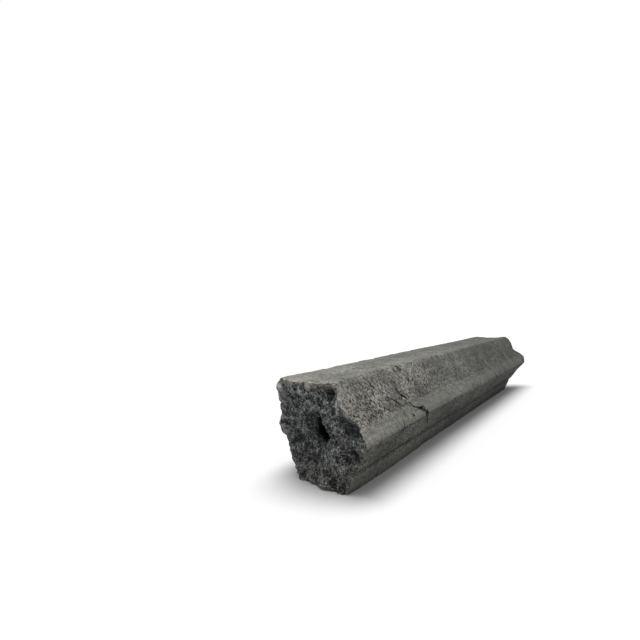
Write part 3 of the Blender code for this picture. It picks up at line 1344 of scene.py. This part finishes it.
        # Painted shade: the break's relief, so that its low places come out darker.
        relief = nodes.step(nodes.mark(Mark.RELIEF_SHADE), -0.9, 0.6)
        grains = nodes.noise(nodes.place, 0.62 * MM, 4.0, 0.8, 0.6)
        height = nodes.plus(
            nodes.times(relief, 0.17), nodes.times(grains, 0.67), nodes.times(self.network(nodes), 0.16)
        )
        colour = self.break_ground(nodes, height, grains)
        # Painted highlight: small bright glints on the higher grains, fewer in the smooth dish.
        glints = nodes.cell_value(nodes.stretched((0.5 * MM, 0.45 * MM, 0.8 * MM)))
        glint_highlight = nodes.times(nodes.step(glints, 0.82, 0.97), nodes.step(height, 0.44, 0.62))
        glint_highlight = nodes.times(glint_highlight, nodes.step(nodes.mark(Mark.SMOOTH), 0.2, 0.8, 1.0, 0.25))
        colour = nodes.mix(glint_highlight, colour, self.break_painted_glint)
        # Pale flecks along the break's rim, partly painted highlight: stronger towards the top edge, where
        # light falls.
        flecks = nodes.step(nodes.noise(nodes.place, 1.5 * MM, 3.0, 0.6, 0.4), 0.42, 0.54, 0.0, 0.90)
        flecks = nodes.times(flecks, nodes.step(nodes.axis("Z"), 24 * MM, 36 * MM, 0.12, 1.0))
        colour = nodes.mix(nodes.times(nodes.mark(Mark.RIM), flecks), colour, self.break_rim_fleck_highlight)
        chips = nodes.times(nodes.mark(Mark.CHIP), nodes.step(grains, 0.42, 0.56, 0.05, 0.80))
        colour = nodes.mix(chips, colour, self.break_chip)
        height_up = nodes.plus(nodes.axis("Z"), nodes.times(nodes.noise(nodes.place, 8 * MM), 16 * MM))
        low = nodes.step(height_up, 12 * MM, 30 * MM, 0.9, 0.0)
        return nodes.mix(low, colour, nodes.tint(colour, self.break_warm))

    def crack_shares(self, nodes: Nodes) -> tuple[Socket, Socket]:
        """Where the cracks are.

        Args:
            nodes: The material's nodes.

        Returns:
            How much of a place is crack, painted near-black as shade in its gap, and how much is the far edge
            of one, painted pale as a highlight on its lit lip.
        """
        off, gape = nodes.mark(Mark.CRACK_OFF), nodes.mark(Mark.CRACK_OPEN)
        stray = nodes.step(nodes.noise(nodes.place, 0.9 * MM, 2.0), 0.2, 0.8, -0.28, 0.28)
        inside = nodes.minus(gape, nodes.math("ABSOLUTE", nodes.plus(off, stray)))
        crack = nodes.times(nodes.step(inside, -0.16, 0.05), nodes.step(gape, 0.0, 0.08))
        # The far lip of a crack, for painted highlight.
        past = nodes.minus(off, gape)
        edge = nodes.times(nodes.step(past, 0.0, 0.25), nodes.step(past, 0.35, 0.95, 1.0, 0.0))
        return crack, nodes.times(edge, nodes.step(gape, 0.12, 0.40, 0.0, 0.70))

    def material(self) -> bpy.types.Material:
        """Builds the whole finish.

        Returns:
            The material.
        """
        material = bpy.data.materials.new("charcoal")
        material.use_nodes = True
        nodes = Nodes(material)
        shader = material.node_tree.nodes["Principled BSDF"]
        ragged = nodes.step(nodes.noise(nodes.place, 1.6 * MM, 4.0, 0.7), 0.2, 0.8, -0.3, 0.3)
        broken = nodes.step(nodes.plus(nodes.mark(Mark.BROKEN), ragged), 0.62, 0.78)
        crack, painted_edge_highlight = self.crack_shares(nodes)
        colour = nodes.mix(broken, self.skin_colour(nodes), self.break_colour(nodes))
        # Painted shade: the bore darkens inside.
        colour = nodes.mix(nodes.mark(Mark.CHANNEL), colour, self.channel)
        # Painted highlight on the far lip of each crack.
        colour = nodes.mix(painted_edge_highlight, colour, self.skin_rim_highlight)
        # Painted shade: the cracks near-black.
        nodes.join(shader.inputs["Base Color"], nodes.mix(crack, colour, self.crack))
        skin_rough = nodes.step(nodes.noise(nodes.place, 3.0 * MM, 3.0, 0.6), 0.3, 0.7, 0.58, 0.78)
        break_rough = nodes.step(nodes.cell_value(nodes.stretched((0.6 * MM,) * 3)), 0.3, 0.9, 0.75, 0.32)
        nodes.join(shader.inputs["Roughness"], nodes.mix_value(broken, skin_rough, break_rough))
        shader.inputs["Specular IOR Level"].default_value = self.specular
        nodes.join(shader.inputs["Normal"], self.relief(nodes, broken, crack))
        return material

    def relief(self, nodes: Nodes, broken: Socket, crack: Socket) -> Socket:
        """The fine relief that is too small for the mesh.

        Args:
            nodes: The material's nodes.
            broken: The share of broken surface.
            crack: The share of crack.

        Returns:
            The bumped normal.
        """
        fine = nodes.noise(nodes.place, 0.9 * MM, 5.0, 0.7)
        skin = nodes.plus(nodes.times(fine, 0.5), nodes.times(self.strokes(nodes), 1.4))
        skin = nodes.minus(skin, nodes.times(crack, 0.9))
        rough = nodes.minus(nodes.times(fine, 1.6), nodes.cells(nodes.place, 0.8 * MM))
        return nodes.bump(nodes.mix_value(broken, skin, rough), self.bump_height, self.bump_strength)


@dataclass
class PhotoCamera:
    """The camera at the photograph's viewing angle, from a fit to the ridges' ends."""

    place: Triple = (-282.63 * MM, -99.79 * MM, 66.2 * MM)
    heading: float = math.radians(33.76)
    pitch: float = math.radians(-0.78)
    roll: float = math.radians(-1.71)
    lens: float = 26.17
    sensor: float = 36.0

    def make(self) -> None:
        """Adds the camera and makes it the scene's."""
        level = math.cos(self.pitch)
        ahead = Vector((level * math.cos(self.heading), level * math.sin(self.heading), math.sin(self.pitch)))
        right = ahead.cross(Vector((0.0, 0.0, 1.0))).normalized()
        up = right.cross(ahead)
        turned_right = right * math.cos(self.roll) + up * math.sin(self.roll)
        turned_up = up * math.cos(self.roll) - right * math.sin(self.roll)
        data = bpy.data.cameras.new("camera")
        data.lens = self.lens
        data.sensor_width = self.sensor
        data.clip_start = 0.005
        camera = bpy.data.objects.new("camera", data)
        axes = Matrix((turned_right, turned_up, -ahead)).transposed()
        camera.matrix_world = Matrix.Translation(self.place) @ axes.to_4x4()
        bpy.context.scene.collection.objects.link(camera)
        bpy.context.scene.camera = camera


@dataclass
class Studio:
    """A plain pale floor under plain soft light."""

    floor_size: float = 60.0
    floor_colour: Colour = (0.345, 0.345, 0.345, 1.0)
    sky: float = 1.0
    key_from: Triple = (0.03, 0.02, 1.0)
    key_spread: float = math.radians(45.0)
    key_power: float = 6.6

    def make(self) -> None:
        """Adds the floor, the sky and the lamp."""
        grid = bmesh.new()
        bmesh.ops.create_grid(grid, x_segments=1, y_segments=1, size=self.floor_size / 2)
        mesh = bpy.data.meshes.new("floor")
        grid.to_mesh(mesh)
        grid.free()
        floor = bpy.data.objects.new("floor", mesh)
        material = bpy.data.materials.new("floor")
        material.use_nodes = True
        shader = material.node_tree.nodes["Principled BSDF"]
        shader.inputs["Base Color"].default_value = self.floor_colour
        shader.inputs["Roughness"].default_value = 1.0
        shader.inputs["Specular IOR Level"].default_value = 0.0
        mesh.materials.append(material)
        bpy.context.scene.collection.objects.link(floor)
        world = bpy.data.worlds.new("studio")
        world.use_nodes = True
        world.node_tree.nodes["Background"].inputs["Color"].default_value = (1.0, 1.0, 1.0, 1.0)
        world.node_tree.nodes["Background"].inputs["Strength"].default_value = self.sky
        bpy.context.scene.world = world
        data = bpy.data.lights.new("key", "SUN")
        data.angle = self.key_spread
        data.energy = self.key_power
        lamp = bpy.data.objects.new("key", data)
        lamp.rotation_mode = "QUATERNION"
        lamp.rotation_quaternion = Vector(self.key_from).to_track_quat("Z", "Y")
        bpy.context.scene.collection.objects.link(lamp)
        bpy.context.scene.view_settings.view_transform = "Standard"


def main() -> None:
    """Loads the frame, builds the briquette over it, and sets up the studio and the camera."""
    logging.basicConfig(level=logging.INFO, format="%(name)s: %(message)s")
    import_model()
    piece = Briquette().make()
    piece.data.materials.append(CharcoalFinish().material())
    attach(piece, BODY)
    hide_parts(NODE)
    LOG.info("%s: %d faces", piece.name, len(piece.data.polygons))
    Studio().make()
    PhotoCamera().make()


if __name__ == "__main__":
    main()
